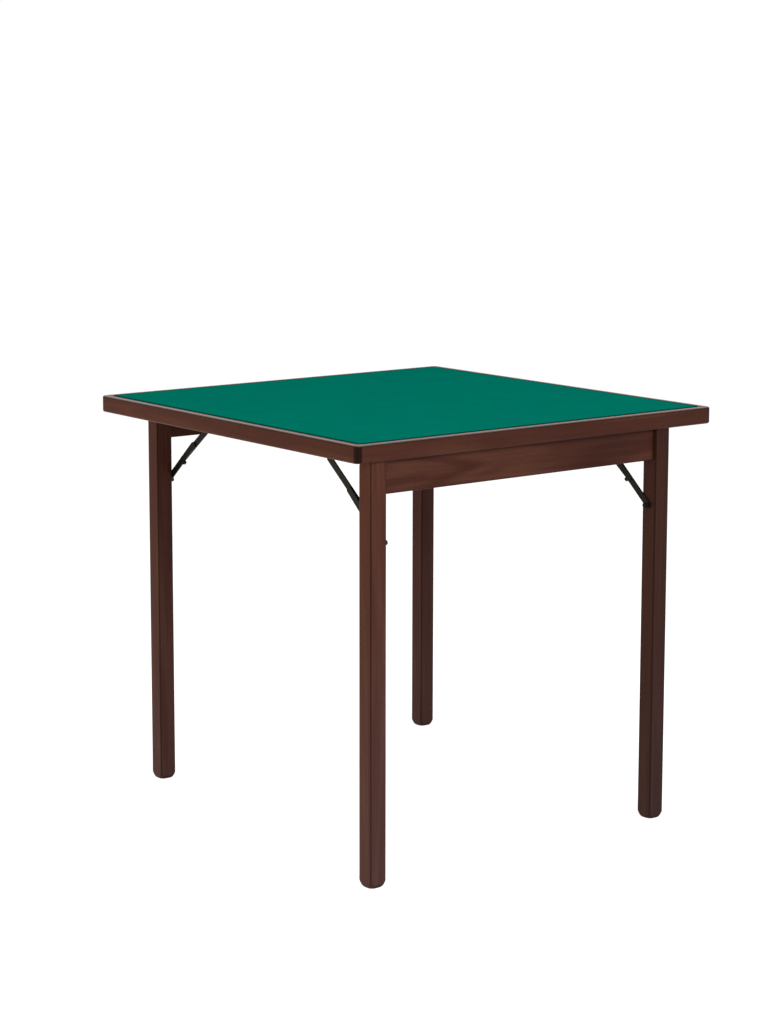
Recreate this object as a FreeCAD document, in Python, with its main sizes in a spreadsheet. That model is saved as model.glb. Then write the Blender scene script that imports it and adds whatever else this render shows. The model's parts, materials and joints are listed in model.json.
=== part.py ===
import FreeCAD, Part
import math
import os
import Sketcher

# Folding card table: a baize-covered board in a mitred walnut rim, with two
# pairs of legs that turn on pins in the ends of the aprons. Each leg is held by
# a two-link stay that locks a little past straight and folds flat with it.
# X runs along the aprons, Y across the table, Z up from the floor.

doc = FreeCAD.newDocument("FoldingTable")
sheet = doc.addObject("Spreadsheet::Sheet", "Sizes")

sizes = (
    ("table_side", "800"),
    ("table_height", "750"),
    ("corner_radius", "11"),
    ("rim_depth", "30"),
    ("rim_width", "45"),
    ("rim_edge_radius", "3"),
    ("rim_under_edge", "2"),
    ("lip_width", "14"),
    ("board_thickness", "8"),
    ("board_gap", "0.8"),
    ("board_corner_radius", "11.2"),
    ("baize_thickness", "1"),
    ("baize_proud", "0.5"),
    ("leg_side", "33"),
    ("leg_arris", "3"),
    ("foot_radius", "9"),
    ("leg_setback", "8"),
    ("leg_end_setback", "33.5"),
    ("leg_nest_gap", "30.5"),
    ("shoulder_gap", "0.5"),
    ("apron_thickness", "18"),
    ("apron_depth", "57.5"),
    ("apron_setback", "8"),
    ("apron_end_gap", "0.5"),
    ("apron_edge_radius", "2"),
    ("hinge_pin_radius", "4"),
    ("hinge_pin_in_leg", "20"),
    ("hinge_pin_in_apron", "28"),
    ("hole_end_gap", "0.5"),
    ("running_clearance", "0.05"),
    ("stay_drop", "170"),
    ("bracket_reach", "172"),
    ("over_centre_angle", "3.4"),
    ("link_width", "12"),
    ("link_thickness", "2.5"),
    ("lower_tail", "14.6"),
    ("upper_tail", "50"),
    ("lug_length", "6"),
    ("lug_thickness", "2.5"),
    ("lug_clearance", "0.3"),
    ("side_play", "0.3"),
    ("link_spacing", "0.3"),
    ("stay_pin_radius", "2.5"),
    ("stay_head_radius", "4.5"),
    ("stay_head_height", "2.4"),
    ("stay_screw_bite", "18"),
    ("rivet_head_height", "1.6"),
    ("bracket_clearance", "0.3"),
    ("bracket_thickness", "2.5"),
    ("bracket_width", "24"),
    ("bracket_base", "18"),
    ("bracket_end_radius", "7"),
    ("bracket_bend_radius", "1.5"),
)


class Size:
    # A length with the sheet expression that gives it: sketches start at its
    # value and stay bound to its expression.
    def __init__(self, value, text):
        self.value = value
        self.text = text

    def __add__(self, other):
        other = as_size(other)
        return Size(self.value + other.value, "(%s + %s)" % (self.text, other.text))

    def __sub__(self, other):
        other = as_size(other)
        return Size(self.value - other.value, "(%s - %s)" % (self.text, other.text))

    def __mul__(self, other):
        other = as_size(other)
        return Size(self.value * other.value, "(%s * %s)" % (self.text, other.text))

    def __truediv__(self, other):
        other = as_size(other)
        return Size(self.value / other.value, "(%s / %s)" % (self.text, other.text))

    def __neg__(self):
        return Size(-self.value, "(0 - %s)" % self.text)


def as_size(value):
    return value if isinstance(value, Size) else Size(float(value), "%g" % value)


def root(size):
    return Size(math.sqrt(size.value), "sqrt(%s)" % size.text)


def cosine(size):
    return Size(math.cos(math.radians(size.value)), "cos(%s * 1 deg)" % size.text)


for row, (alias, text) in enumerate(sizes, 1):
    sheet.set("A%d" % row, alias)
    sheet.set("B%d" % row, text)
    sheet.setAlias("B%d" % row, alias)
doc.recompute()
size = {alias: Size(float(text), "Sizes." + alias) for alias, text in sizes}
zero = as_size(0)
one = as_size(1)

# Values worked out from the sheet, kept where every feature can read them
worked = doc.addObject("App::VarSet", "Worked")


def keep(name, value):
    worked.addProperty("App::PropertyFloat", name, "Worked")
    worked.setExpression(name, value.text)
    return Size(value.value, "Worked." + name)


half = keep("half_side", size["table_side"] / 2)
rim_top = keep("rim_top", size["table_height"] - size["baize_proud"])
rim_bottom = keep("rim_bottom", rim_top - size["rim_depth"])
board_bottom = keep("board_bottom", size["table_height"] - size["baize_thickness"] - size["board_thickness"])
board_half = keep("board_half", half - size["lip_width"] - size["board_gap"])
leg_half = keep("leg_half", size["leg_side"] / 2)
hinge_y = keep("hinge_y", size["leg_setback"] + leg_half - half)
hinge_z = keep("hinge_z", rim_bottom - size["shoulder_gap"] - leg_half)
left_x = keep("left_leg_x", size["leg_end_setback"] + leg_half - half)
right_x = keep("right_leg_x", half - size["leg_end_setback"] - size["leg_side"] - size["leg_nest_gap"] - leg_half)
pair_shift = keep("pair_shift", (size["leg_side"] + size["leg_nest_gap"]) / 2)
apron_bottom = keep("apron_bottom", rim_bottom - size["apron_depth"])
apron_outer = keep("apron_outer", size["leg_setback"] + size["apron_setback"] - half)
apron_inner = keep("apron_inner", apron_outer + size["apron_thickness"])
apron_middle = keep("apron_middle", apron_outer + size["apron_thickness"] / 2)
apron_half = keep("apron_half", (right_x - left_x) / 2 - leg_half - size["apron_end_gap"])

# The stay's two fixed pivots, and the knee that joins its links. Straight, the
# links reach just past the pivots' distance; folded, the lower link lies along
# the upper one, so the links differ by the folded distance.
low_y = hinge_y
low_z = keep("low_pivot_z", size["table_height"] - size["stay_drop"])
low_arm = keep("low_pivot_arm", hinge_z - low_z)
high_y = keep("high_pivot_y", size["bracket_reach"] - half)
high_z = hinge_z
run = keep("stay_run", high_y - low_y)
rise = keep("stay_rise", high_z - low_z)
span = keep("stay_span", root(run * run + rise * rise))
folded = keep("folded_span", run - low_arm)
bend = keep("over_centre_cosine", cosine(size["over_centre_angle"]))
reach = keep("links_reach", root((span * span * 2 - folded * folded * (one - bend)) / (one + bend)))
lower_length = keep("lower_length", (reach + folded) / 2)
upper_length = keep("upper_length", (reach - folded) / 2)
lean = keep("lower_lean_cosine", (lower_length * lower_length + span * span - upper_length * upper_length)
            / (lower_length * span * 2))
lean_sine = keep("lower_lean_sine", root(one - lean * lean))
lower_across = keep("lower_across", (run * lean - rise * lean_sine) / span)
lower_up = keep("lower_up", (rise * lean + run * lean_sine) / span)
knee_y = keep("knee_y", low_y + lower_length * lower_across)
knee_z = keep("knee_z", low_z + lower_length * lower_up)
upper_across = keep("upper_across", (high_y - knee_y) / upper_length)
upper_up = keep("upper_up", (high_z - knee_z) / upper_length)

# The stay's layers, outwards from the leg's inner face
lower_near = size["side_play"]
lower_far = keep("lower_far", lower_near + size["link_thickness"])
upper_near = keep("upper_near", lower_far + size["link_spacing"])
upper_far = keep("upper_far", upper_near + size["link_thickness"])
plate_near = keep("plate_near", upper_far + size["bracket_clearance"])
plate_far = keep("plate_far", plate_near + size["bracket_thickness"])
bracket_top = keep("bracket_top", board_bottom - high_z)
plate_bend = keep("plate_bend", size["bracket_bend_radius"] + size["bracket_thickness"])
link_half = keep("link_half", size["link_width"] / 2)


def point(where):
    return FreeCAD.Vector(where[0].value, where[1].value, 0)


def bind(thing, name, value):
    thing.setExpression(name, value.text)


def new_body(name):
    body = doc.addObject("PartDesign::Body", name)
    body.Label = name
    return body


def new_sketch(body, name, role, offset=None):
    plane = [feature for feature in body.Origin.OriginFeatures if feature.Role == role][0]
    sketch = body.newObject("Sketcher::SketchObject", name)
    sketch.AttachmentSupport = [(plane, "")]
    sketch.MapMode = "FlatFace"
    if offset is not None:
        sketch.AttachmentOffset = FreeCAD.Placement(FreeCAD.Vector(0, 0, offset.value), FreeCAD.Rotation())
        bind(sketch, "AttachmentOffset.Base.z", offset)
    return sketch


def fix(sketch, item, spot, where):
    for kind, axis, value in (("DistanceX", -2, where[0]), ("DistanceY", -1, where[1])):
        if value.text == "0":
            sketch.addConstraint(Sketcher.Constraint("PointOnObject", item, spot, axis))
        else:
            number = sketch.addConstraint(Sketcher.Constraint(kind, -1, 1, item, spot, value.value))
            bind(sketch, "Constraints[%d]" % number, value)


def fix_radius(sketch, item, radius):
    number = sketch.addConstraint(Sketcher.Constraint("Radius", item, radius.value))
    bind(sketch, "Constraints[%d]" % number, radius)


# A closed outline of lines (start, end) and arcs (start, end, centre, radius)
def draw(sketch, pieces):
    first = sketch.GeometryCount
    ends = []
    for piece in pieces:
        start, end = point(piece[0]), point(piece[1])
        if len(piece) == 2:
            sketch.addGeometry(Part.LineSegment(start, end), False)
            ends.append((1, 2))
            continue
        centre = point(piece[2])
        start, end = start - centre, end - centre
        forward = start.x * end.y - start.y * end.x > 0
        if not forward:
            start, end = end, start
        begin = math.atan2(start.y, start.x)
        finish = math.atan2(end.y, end.x)
        if finish < begin:
            finish += 2 * math.pi
        circle = Part.Circle(centre, FreeCAD.Vector(0, 0, 1), piece[3].value)
        sketch.addGeometry(Part.ArcOfCircle(circle, begin, finish), False)
        ends.append((1, 2) if forward else (2, 1))
    for number, piece in enumerate(pieces):
        following = (number + 1) % len(pieces)
        sketch.addConstraint(Sketcher.Constraint("Coincident", first + number, ends[number][1],
                                                 first + following, ends[following][0]))
    for number, piece in enumerate(pieces):
        fix(sketch, first + number, ends[number][0], piece[0])
        if len(piece) == 4:
            fix_radius(sketch, first + number, piece[3])


def polygon(sketch, corners):
    draw(sketch, [(corners[i], corners[(i + 1) % len(corners)]) for i in range(len(corners))])


def draw_circle(sketch, centre, radius):
    item = sketch.addGeometry(Part.Circle(point(centre), FreeCAD.Vector(0, 0, 1), radius.value), False)
    fix(sketch, item, 3, centre)
    fix_radius(sketch, item, radius)


# A square about the middle, its corners rounded
def rounded_square(sketch, reach, radius):
    flat = reach - radius
    draw(sketch, [
        ((-flat, -reach), (flat, -reach)),
        ((flat, -reach), (reach, -flat), (flat, -flat), radius),
        ((reach, -flat), (reach, flat)),
        ((reach, flat), (flat, reach), (flat, flat), radius),
        ((flat, reach), (-flat, reach)),
        ((-flat, reach), (-reach, flat), (-flat, flat), radius),
        ((-reach, flat), (-reach, -flat)),
        ((-reach, -flat), (-flat, -reach), (-flat, -flat), radius),
    ])


# The waste outside a rounded corner at (across, up), facing (right, above)
def draw_corner_waste(sketch, across, up, right, above, radius):
    inner_across = across - radius * right
    inner_up = up - radius * above
    outer_across = across + one * right
    outer_up = up + one * above
    draw(sketch, [((inner_across, up), (inner_across, outer_up)),
                  ((inner_across, outer_up), (outer_across, outer_up)),
                  ((outer_across, outer_up), (outer_across, inner_up)),
                  ((outer_across, inner_up), (across, inner_up)),
                  ((across, inner_up), (inner_across, up), (inner_across, inner_up), radius)])


def pad(body, name, sketch, length, symmetric=False):
    feature = body.newObject("PartDesign::Pad", name)
    feature.Profile = sketch
    bind(feature, "Length", length)
    if symmetric:
        feature.SideType = "Symmetric"
    return feature


def pocket(body, name, sketch, depth=None, backwards=False, symmetric=False):
    feature = body.newObject("PartDesign::Pocket", name)
    feature.Profile = sketch
    if depth is None:
        feature.Type = "ThroughAll"
    else:
        bind(feature, "Length", depth)
    feature.Reversed = backwards
    if symmetric:
        feature.SideType = "Symmetric"
    return feature


# Puts a piece's own frame at (x, y, z); the rear pair is the front pair turned
# half round the table's middle
def place(piece, x, y, z, rear=False, turn=0):
    if rear:
        x, y, turn = -x, -y, turn + 180
    piece.Placement = FreeCAD.Placement(FreeCAD.Vector(x.value, y.value, z.value),
                                        FreeCAD.Rotation(FreeCAD.Vector(0, 0, 1), turn % 360))
    bind(piece, "Placement.Base.x", x)
    bind(piece, "Placement.Base.y", y)
    bind(piece, "Placement.Base.z", z)


# A turned piece about its own X axis, from (distance, radius) stations
def turned(name, outline):
    body = new_body(name)
    sketch = new_sketch(body, name + "_profile", "XY_Plane")
    draw(sketch, outline)
    spin = body.newObject("PartDesign::Revolution", name + "_turned")
    spin.Profile = sketch
    spin.ReferenceAxis = (sketch, ["H_Axis"])
    spin.Angle = 360
    return body


def stations(*corners):
    return [(corners[i], corners[(i + 1) % len(corners)]) for i in range(len(corners))]


# A flat head above a pivot's shank, then the line back along its axis
def flat_head(distance, height, end):
    top = distance + height
    wide = size["stay_head_radius"]
    return [((distance, size["stay_pin_radius"]), (distance, wide)), ((distance, wide), (top, wide)),
            ((top, wide), (top, zero)), ((top, zero), end)]


nodes = []


def node(piece, name):
    piece.Label = name
    nodes.append(piece)
    return piece


# Rim: one ring, sawn into four members at the mitres
ring = new_body("rim_ring")
outline = new_sketch(ring, "ring_outline", "XY_Plane", rim_bottom)
rounded_square(outline, half, size["corner_radius"])
slab = pad(ring, "ring_slab", outline, size["rim_depth"])
doc.recompute()


def level_edges(shape, level):
    return ["Edge%d" % number for number, edge in enumerate(shape.Edges, 1)
            if all(abs(vertex.Point.z - level) < 1e-6 for vertex in edge.Vertexes)]


easing = ring.newObject("PartDesign::Fillet", "ring_easing")
easing.Base = (slab, level_edges(slab.Shape, rim_top.value))
bind(easing, "Radius", size["rim_edge_radius"])
doc.recompute()
under = ring.newObject("PartDesign::Chamfer", "ring_under_edge")
under.Base = (easing, level_edges(easing.Shape, rim_bottom.value))
bind(under, "Size", size["rim_under_edge"])
middle = new_sketch(ring, "ring_middle", "XY_Plane", rim_top)
inside = half - size["rim_width"]
polygon(middle, [(-inside, -inside), (inside, -inside), (inside, inside), (-inside, inside)])
pocket(ring, "ring_opening", middle)
rabbet = new_sketch(ring, "ring_rabbet", "XY_Plane", rim_top)
shelf = half - size["lip_width"]
rounded_square(rabbet, shelf, size["board_corner_radius"] + size["board_gap"])
pocket(ring, "ring_rabbet_cut", rabbet, rim_top - board_bottom)

for name, turn in (("rim_front", 0), ("rim_right", 90), ("rim_rear", 180), ("rim_left", 270)):
    wedge = new_body(name + "_mitre")
    triangle = new_sketch(wedge, name + "_mitre_outline", "XY_Plane", rim_bottom - 1)
    far = half + 1
    polygon(triangle, [(zero, zero), (-far, -far), (far, -far)])
    pad(wedge, name + "_mitre_block", triangle, size["rim_depth"] + 2)
    wedge.Placement = FreeCAD.Placement(FreeCAD.Vector(0, 0, 0), FreeCAD.Rotation(FreeCAD.Vector(0, 0, 1), turn))
    member = doc.addObject("Part::Common", name)
    member.Base = ring
    member.Tool = wedge
    node(member, name)

# Playing board on the rabbet's floor, with the baize over it
board = new_body("playing_board")
sketch = new_sketch(board, "board_outline", "XY_Plane", board_bottom)
rounded_square(sketch, board_half, size["board_corner_radius"])
pad(board, "board_sheet", sketch, size["board_thickness"])
node(board, "playing_board")

baize = new_body("baize")
sketch = new_sketch(baize, "baize_outline", "XY_Plane", board_bottom + size["board_thickness"])
rounded_square(sketch, board_half, size["board_corner_radius"])
pad(baize, "baize_sheet", sketch, size["baize_thickness"])
node(baize, "baize")

# Aprons, glued up under the rim, with the hinge pins in their ends
hinge_pins = []
for end, rear in (("front", False), ("rear", True)):
    apron = new_body("apron_" + end)
    sketch = new_sketch(apron, "apron_%s_section" % end, "YZ_Plane", -apron_half)
    easy = size["apron_edge_radius"]
    draw(sketch, [
        ((apron_outer + easy, apron_bottom), (apron_inner - easy, apron_bottom)),
        ((apron_inner - easy, apron_bottom), (apron_inner, apron_bottom + easy),
         (apron_inner - easy, apron_bottom + easy), easy),
        ((apron_inner, apron_bottom + easy), (apron_inner, rim_bottom)),
        ((apron_inner, rim_bottom), (apron_outer, rim_bottom)),
        ((apron_outer, rim_bottom), (apron_outer, apron_bottom + easy)),
        ((apron_outer, apron_bottom + easy), (apron_outer + easy, apron_bottom),
         (apron_outer + easy, apron_bottom + easy), easy),
    ])
    pad(apron, "apron_%s_board" % end, sketch, apron_half * 2)
    for side, offset in (("right", apron_half), ("left", -apron_half)):
        sketch = new_sketch(apron, "apron_%s_%s_hole" % (end, side), "YZ_Plane", offset)
        draw_circle(sketch, (hinge_y, hinge_z), size["hinge_pin_radius"])
        pocket(apron, "apron_%s_%s_bore" % (end, side), sketch, size["hinge_pin_in_apron"],
               backwards=side == "left")
    place(apron, -pair_shift, zero, zero, rear)
    node(apron, "apron_" + end)

# Legs and their stays. "hand" points from the leg's inner face along X.
pin = size["stay_pin_radius"]
play = size["side_play"]


def along_link(direction, distance, offset):
    across, up = direction
    return across * distance - up * offset, up * distance + across * offset


def round_end(direction, distance, radius, forwards):
    # the two quarter arcs of a link's round end, from one edge to the other
    centre = along_link(direction, distance, zero)
    low = along_link(direction, distance, radius * -forwards)
    tip = along_link(direction, distance + radius * forwards, zero)
    high = along_link(direction, distance, radius * forwards)
    return [(low, tip, centre, radius), (tip, high, centre, radius)]


for place_name, leg_x, hand, rear in (("front_left", left_x, 1, False), ("front_right", right_x, -1, False),
                                      ("rear_right", left_x, 1, True), ("rear_left", right_x, -1, True)):
    face_x = leg_x + leg_half * hand
    turn = 0 if hand > 0 else 180

    def layer(near, far):
        return near if hand > 0 else -far

    # Leg, about its hinge: a shoulder outside, a round inside, an eased foot
    leg = new_body("leg_" + place_name)
    foot = -hinge_z
    soft = size["foot_radius"]
    sketch = new_sketch(leg, "leg_%s_side" % place_name, "YZ_Plane", -leg_half)
    draw(sketch, [
        ((soft - leg_half, foot), (leg_half - soft, foot)),
        ((leg_half - soft, foot), (leg_half, foot + soft), (leg_half - soft, foot + soft), soft),
        ((leg_half, foot + soft), (leg_half, zero)),
        ((leg_half, zero), (zero, leg_half), (zero, zero), leg_half),
        ((zero, leg_half), (-leg_half, leg_half)),
        ((-leg_half, leg_half), (-leg_half, foot + soft)),
        ((-leg_half, foot + soft), (soft - leg_half, foot), (soft - leg_half, foot + soft), soft),
    ])
    pad(leg, "leg_%s_post" % place_name, sketch, size["leg_side"])
    sketch = new_sketch(leg, "leg_%s_foot" % place_name, "XZ_Plane")
    for right in (-1, 1):
        draw_corner_waste(sketch, leg_half * right, foot, right, -1, soft)
    pocket(leg, "leg_%s_foot_round" % place_name, sketch, symmetric=True)
    sketch = new_sketch(leg, "leg_%s_arrises" % place_name, "XY_Plane")
    for right in (-1, 1):
        for above in (-1, 1):
            draw_corner_waste(sketch, leg_half * right, leg_half * above, right, above, size["leg_arris"])
    pocket(leg, "leg_%s_eased" % place_name, sketch, symmetric=True)
    sketch = new_sketch(leg, "leg_%s_hinge_hole" % place_name, "YZ_Plane", leg_half * hand)
    draw_circle(sketch, (zero, zero), size["hinge_pin_radius"] + size["running_clearance"])
    pocket(leg, "leg_%s_hinge_bore" % place_name, sketch, size["hinge_pin_in_leg"] + size["hole_end_gap"],
           backwards=hand < 0)
    sketch = new_sketch(leg, "leg_%s_stay_hole" % place_name, "YZ_Plane", leg_half * hand)
    draw_circle(sketch, (zero, -low_arm), pin)
    pocket(leg, "leg_%s_stay_bore" % place_name, sketch, size["stay_screw_bite"], backwards=hand < 0)
    place(leg, leg_x, hinge_y, hinge_z, rear)
    node(leg, "leg_" + place_name)

    inner = -size["hinge_pin_in_leg"]
    outer = size["apron_end_gap"] + size["hinge_pin_in_apron"]
    wide = size["hinge_pin_radius"]
    hinge_pin = turned("hinge_pin_" + place_name, stations(
        (inner, zero), (inner, wide), (outer, wide), (outer, zero)))
    place(hinge_pin, face_x, hinge_y, hinge_z, rear, turn)
    hinge_pins.append(hinge_pin)

    # Screw that carries the lower link on the leg
    under_head = lower_far + play
    end = -size["stay_screw_bite"]
    screw = turned("stay_screw_" + place_name, [((end, zero), (end, pin)), ((end, pin), (under_head, pin))]
                   + flat_head(under_head, size["stay_head_height"], (end, zero)))
    place(screw, face_x, low_y, low_z, rear, turn)
    node(screw, "stay_screw_" + place_name)

    # Lower link, from the leg's screw to a little past the knee
    low = (lower_across, lower_up)
    link = new_body("lower_link_" + place_name)
    sketch = new_sketch(link, "lower_link_%s_outline" % place_name, "YZ_Plane", layer(lower_near, lower_far))
    end = lower_length + size["lower_tail"] - link_half
    back = round_end(low, zero, link_half, -1)
    front = round_end(low, end, link_half, 1)
    draw(sketch, back + [(back[1][1], front[0][0])] + front + [(front[1][1], back[0][0])])
    draw_circle(sketch, (zero, zero), pin + size["running_clearance"])
    draw_circle(sketch, along_link(low, lower_length, zero), pin)
    pad(link, "lower_link_%s_strip" % place_name, sketch, size["link_thickness"])
    place(link, face_x, low_y, low_z, rear)
    node(link, "lower_link_" + place_name)

    # Knee rivet, closed flush in the lower link, its head outside the upper
    under_head = upper_far + play
    rivet = turned("knee_rivet_" + place_name, [
        ((lower_near, zero), (lower_near, pin)), ((lower_near, pin), (under_head, pin))]
        + flat_head(under_head, size["rivet_head_height"], (lower_near, zero)))
    place(rivet, face_x, knee_y, knee_z, rear, turn)
    node(rivet, "knee_rivet_" + place_name)

    # Upper link, from the bracket down past the knee, where its bent lug stops
    # against the lower link's under edge when the stay is locked
    high = (upper_across, upper_up)
    link = new_body("upper_link_" + place_name)
    sketch = new_sketch(link, "upper_link_%s_outline" % place_name, "YZ_Plane", layer(upper_near, upper_far))
    tail = size["upper_tail"] - link_half
    root_end = tail - size["lug_length"]
    lug_top = link_half + size["lug_clearance"]
    lug_bottom = lug_top + size["lug_thickness"]
    back = round_end(high, -tail, link_half, -1)
    front = round_end(high, upper_length, link_half, 1)
    ear = [back[1][1], along_link(low, -tail, -lug_bottom), along_link(low, -root_end, -lug_bottom),
           along_link(high, -root_end, -link_half)]
    draw(sketch, back + [(ear[0], ear[1]), (ear[1], ear[2]), (ear[2], ear[3]), (ear[3], front[0][0])]
         + front + [(front[1][1], back[0][0])])
    draw_circle(sketch, (zero, zero), pin + size["running_clearance"])
    pad(link, "upper_link_%s_strip" % place_name, sketch, size["link_thickness"])
    sketch = new_sketch(link, "upper_link_%s_lug" % place_name, "YZ_Plane", layer(lower_near, upper_near))
    polygon(sketch, [along_link(low, -tail, -lug_bottom), along_link(low, -root_end, -lug_bottom),
                     along_link(low, -root_end, -lug_top), along_link(low, -tail, -lug_top)])
    pad(link, "upper_link_%s_bent_lug" % place_name, sketch, upper_near - lower_near)
    place(link, face_x, knee_y, knee_z, rear)
    node(link, "upper_link_" + place_name)

    # Bracket under the board: a bent plate with its tongue down to the pivot
    bracket = new_body("stay_bracket_" + place_name)
    level = bracket_top
    sketch = new_sketch(bracket, "bracket_%s_bend" % place_name, "XZ_Plane")
    bottom = -size["bracket_end_radius"] - 1
    thick = size["bracket_thickness"]
    wide = plate_near + size["bracket_base"]
    centre = ((plate_near + plate_bend) * hand, level - plate_bend)
    draw(sketch, [
        ((plate_near * hand, bottom), (plate_far * hand, bottom)),
        ((plate_far * hand, bottom), (plate_far * hand, level - plate_bend)),
        ((plate_far * hand, level - plate_bend), ((plate_near + plate_bend) * hand, level - thick),
         centre, size["bracket_bend_radius"]),
        (((plate_near + plate_bend) * hand, level - thick), (wide * hand, level - thick)),
        ((wide * hand, level - thick), (wide * hand, level)),
        ((wide * hand, level), ((plate_near + plate_bend) * hand, level)),
        (((plate_near + plate_bend) * hand, level), (plate_near * hand, level - plate_bend), centre, plate_bend),
        ((plate_near * hand, level - plate_bend), (plate_near * hand, bottom)),
    ])
    pad(bracket, "bracket_%s_plate" % place_name, sketch, size["bracket_width"], symmetric=True)
    sketch = new_sketch(bracket, "bracket_%s_tongue" % place_name, "YZ_Plane")
    tongue = size["bracket_end_radius"]
    broad = size["bracket_width"] / 2
    neck = level - plate_bend - 2
    draw(sketch, [
        ((broad + 1, neck), (broad, neck)),
        ((broad, neck), (tongue, zero)),
        ((tongue, zero), (zero, -tongue), (zero, zero), tongue),
        ((zero, -tongue), (-tongue, zero), (zero, zero), tongue),
        ((-tongue, zero), (-broad, neck)),
        ((-broad, neck), (-broad - 1, neck)),
        ((-broad - 1, neck), (-broad - 1, bottom - 1)),
        ((-broad - 1, bottom - 1), (broad + 1, bottom - 1)),
        ((broad + 1, bottom - 1), (broad + 1, neck)),
    ])
    pocket(bracket, "bracket_%s_tapered" % place_name, sketch, symmetric=True)
    place(bracket, face_x, high_y, high_z, rear)
    node(bracket, "stay_bracket_" + place_name)

group = doc.addObject("Part::Compound", "hinge_pins")
group.Links = hinge_pins
node(group, "hinge_pins")

doc.recompute()

for item in doc.Objects:
    for word in item.State:
        if "Invalid" in word or "Error" in word:
            raise RuntimeError("%s (%s) did not build" % (item.Name, item.Label))
for piece in nodes:
    if piece.Shape.isNull() or not piece.Shape.isValid():
        raise RuntimeError("%s has no valid shape" % piece.Label)

os.makedirs("parts", exist_ok=True)
for piece in nodes:
    piece.Shape.exportStep("parts/%s.step" % piece.Label)

print("%d sub-parts" % len(nodes))
print("hinge %.4f %.4f" % (hinge_y.value, hinge_z.value))
print("lower pivot %.4f %.4f" % (low_y.value, low_z.value))
print("knee %.4f %.4f" % (knee_y.value, knee_z.value))
print("upper pivot %.4f %.4f" % (high_y.value, high_z.value))
print("links %.4f %.4f" % (lower_length.value, upper_length.value))
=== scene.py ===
import json
import math

import bmesh
import bpy
from mathutils import Matrix, Vector


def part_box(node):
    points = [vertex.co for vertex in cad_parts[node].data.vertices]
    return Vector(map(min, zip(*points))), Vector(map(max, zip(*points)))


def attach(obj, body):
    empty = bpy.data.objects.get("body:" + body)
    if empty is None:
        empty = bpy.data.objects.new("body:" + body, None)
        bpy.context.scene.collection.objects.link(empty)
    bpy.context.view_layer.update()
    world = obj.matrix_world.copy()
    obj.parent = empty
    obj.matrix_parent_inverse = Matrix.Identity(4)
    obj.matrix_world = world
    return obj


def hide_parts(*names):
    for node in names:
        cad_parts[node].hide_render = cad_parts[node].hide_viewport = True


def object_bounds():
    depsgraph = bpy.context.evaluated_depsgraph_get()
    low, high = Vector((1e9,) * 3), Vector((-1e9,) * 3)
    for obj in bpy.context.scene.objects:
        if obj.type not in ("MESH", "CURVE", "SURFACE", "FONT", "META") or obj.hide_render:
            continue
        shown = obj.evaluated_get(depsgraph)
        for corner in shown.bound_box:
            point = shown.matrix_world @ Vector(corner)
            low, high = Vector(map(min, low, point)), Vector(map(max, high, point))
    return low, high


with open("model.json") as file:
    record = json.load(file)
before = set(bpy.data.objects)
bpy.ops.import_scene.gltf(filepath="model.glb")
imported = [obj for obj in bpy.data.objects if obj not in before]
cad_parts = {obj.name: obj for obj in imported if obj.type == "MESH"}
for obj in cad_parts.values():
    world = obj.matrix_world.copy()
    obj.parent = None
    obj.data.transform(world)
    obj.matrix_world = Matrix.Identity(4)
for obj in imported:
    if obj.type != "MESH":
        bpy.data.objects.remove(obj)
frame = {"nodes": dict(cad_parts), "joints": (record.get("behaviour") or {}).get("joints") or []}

# Folding card table: the wood, board and stays come from the frame. This script gives them
# their finishes, rounds the feet, lays the baize and sets the screws, rivets, floor and lights.

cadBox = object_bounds()
scene = bpy.context.scene
scene.view_settings.view_transform = "Standard"
nodes = frame["nodes"]
pivots = {joint["name"]: Vector(joint["pos_m"]) for joint in frame["joints"]}
legNames = ("front_left", "front_right", "rear_left", "rear_right")
mm = 0.001
usualNoise = (0.3, 0.7)    # most of a noise pattern lies between these
print("Frame loaded:", len(nodes), "nodes")


# Node tree helpers

def fill(tree, node, inputs):
    for key, value in inputs.items():
        if isinstance(value, bpy.types.NodeSocket):
            tree.links.new(value, node.inputs[key])
        else:
            node.inputs[key].default_value = value


def addNode(tree, kind, inputs=None, **settings):
    node = tree.nodes.new(kind)
    for name, value in settings.items():
        setattr(node, name, value)
    fill(tree, node, inputs or {})
    return node


def calc(tree, operation, first, second=0.0):
    return addNode(tree, "ShaderNodeMath", {0: first, 1: second}, operation=operation).outputs[0]


def plus(tree, first, second):
    return calc(tree, "ADD", first, second)


def minus(tree, first, second):
    return calc(tree, "SUBTRACT", first, second)


def times(tree, first, second):
    return calc(tree, "MULTIPLY", first, second)


def over(tree, first, second):
    return calc(tree, "DIVIDE", first, second)


def larger(tree, first, second):
    return calc(tree, "MAXIMUM", first, second)


def combine(tree, x=0.0, y=0.0, z=0.0):
    return addNode(tree, "ShaderNodeCombineXYZ", {0: x, 1: y, 2: z}).outputs[0]


def separate(tree, vector):
    return addNode(tree, "ShaderNodeSeparateXYZ", {0: vector}).outputs


def separateSizes(tree, vector):
    return separate(tree, addNode(tree, "ShaderNodeVectorMath", {0: vector}, operation="ABSOLUTE").outputs[0])


def mapRange(tree, value, fromLow, fromHigh, toLow=0.0, toHigh=1.0, kind="LINEAR"):
    inputs = {"Value": value, "From Min": fromLow, "From Max": fromHigh, "To Min": toLow, "To Max": toHigh}
    return addNode(tree, "ShaderNodeMapRange", inputs, interpolation_type=kind).outputs[0]


def smoothRange(tree, value, fromLow, fromHigh, toLow=0.0, toHigh=1.0):
    return mapRange(tree, value, fromLow, fromHigh, toLow, toHigh, "SMOOTHSTEP")


def mixColour(tree, share, first, second, blend="MIX"):
    inputs = {0: share, 6: first, 7: second}
    return addNode(tree, "ShaderNodeMix", inputs, data_type="RGBA", blend_type=blend).outputs[2]


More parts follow.
